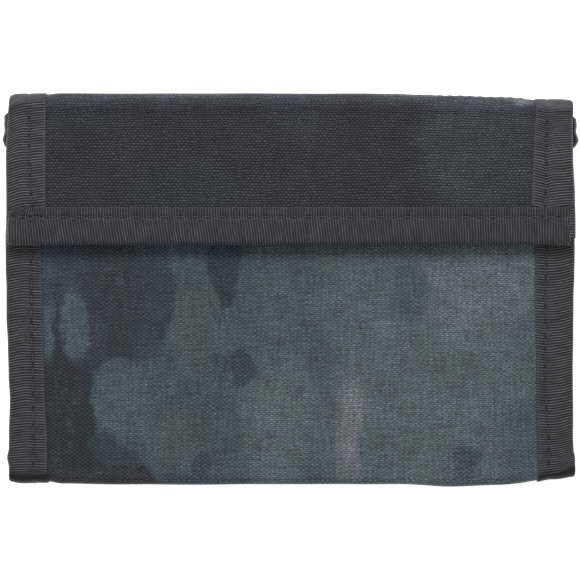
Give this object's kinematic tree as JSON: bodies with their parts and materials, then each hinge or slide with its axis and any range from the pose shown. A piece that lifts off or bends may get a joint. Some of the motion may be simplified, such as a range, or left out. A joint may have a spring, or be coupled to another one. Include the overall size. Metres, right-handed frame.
{
  "type": "trifold wallet",
  "caption": "Flat canvas trifold wallet with tape-bound edges, a hook-and-loop flap over a folded front panel, card pockets, a banknote compartment and a zipped coin pocket.",
  "frame": {"origin": "centre of the plane that the closed wallet rests on, under the middle of its outline; the wallet lies on its back panel", "axes": "+X runs along the folds to the right as seen from the front, +Y runs from the bottom fold to the top fold, +Z points out of the front, from the back panel to the flap"},
  "size_m": [0.1262, 0.0862, 0.017],
  "materials": {
    "canvas": "plain-woven coated nylon canvas, dark camouflage print in slate, charcoal and navy, matte",
    "binding": "ribbed grosgrain tape, charcoal, matte with a slight sheen on the ribs",
    "lining": "fine woven nylon lining, near black, low sheen",
    "coin_panel": "plain-woven nylon, dark slate, matte",
    "card_pocket": "plain-woven nylon, dark slate, matte",
    "hook": "black nylon hooks on a woven base",
    "loop": "black brushed loop pile",
    "zip_tape": "black twill zip tape",
    "zip_teeth": "black nylon coil, low gloss",
    "zip_metal": "dark gunmetal plated die casting, satin"
  },
  "bodies": {
    "back": {"shell_back": "canvas", "binding_back_left": "binding", "binding_back_right": "binding", "lining_back": "lining", "lining_binding_back": "binding", "card_pocket_low": "card_pocket", "card_pocket_middle": "card_pocket", "card_pocket_high": "card_pocket", "card_edging_low": "binding", "card_edging_middle": "binding", "card_edging_high": "binding"},
    "bottom_fold": {"shell_bottom_fold": "canvas", "binding_bottom_left": "binding", "binding_bottom_right": "binding", "lining_bottom_fold": "lining", "lining_binding_bottom": "binding"},
    "front": {"shell_front": "canvas", "binding_front_left": "binding", "binding_front_right": "binding", "binding_front_edge": "binding", "lining_front": "lining", "lining_binding_front": "binding", "coin_panel_lower": "coin_panel", "coin_panel_upper": "coin_panel", "zip_tape_lower": "zip_tape", "zip_tape_upper": "zip_tape", "zip_teeth_lower": "zip_teeth", "zip_teeth_upper": "zip_teeth", "zip_stop_left": "zip_metal", "zip_stop_right": "zip_metal", "loop_strip": "loop"},
    "top_fold": {"shell_top_fold": "canvas", "binding_top_left": "binding", "binding_top_right": "binding", "lining_top_fold": "lining"},
    "flap": {"shell_flap": "canvas", "binding_flap_left": "binding", "binding_flap_right": "binding", "binding_flap_edge": "binding", "lining_flap": "lining", "hook_strip": "hook"},
    "zip_slider": {"zip_slider": "zip_metal"},
    "zip_puller": {"zip_puller": "zip_metal"}
  },
  "joints": [
    {"name": "front_open", "type": "hinge", "parent": "back", "child": "bottom_fold", "pos_m": [0, -0.0417, 0.0014], "axis": [1, 0, 0], "range_deg": [0, 90]},
    {"name": "front_unfold", "type": "hinge", "parent": "bottom_fold", "child": "front", "pos_m": [0, -0.0417, 0.0117], "axis": [1, 0, 0], "range_deg": [0, 90]},
    {"name": "flap_open", "type": "hinge", "parent": "back", "child": "top_fold", "pos_m": [0, 0.0417, 0.0014], "axis": [-1, 0, 0], "range_deg": [0, 90]},
    {"name": "flap_unfold", "type": "hinge", "parent": "top_fold", "child": "flap", "pos_m": [0, 0.0417, 0.01565], "axis": [-1, 0, 0], "range_deg": [0, 90]},
    {"name": "zip_slide", "type": "slide", "parent": "front", "child": "zip_slider", "axis": [1, 0, 0], "range_m": [0, 0.086]},
    {"name": "puller_swing", "type": "hinge", "parent": "zip_slider", "child": "zip_puller", "pos_m": [-0.043, 0.019, 0.00577], "axis": [0, 0, 1], "range_deg": [-40, 40]}
  ],
  "couplings": [
    {"joint": "front_unfold", "follows": "front_open", "ratio": 1},
    {"joint": "flap_unfold", "follows": "flap_open", "ratio": 1}
  ]
}
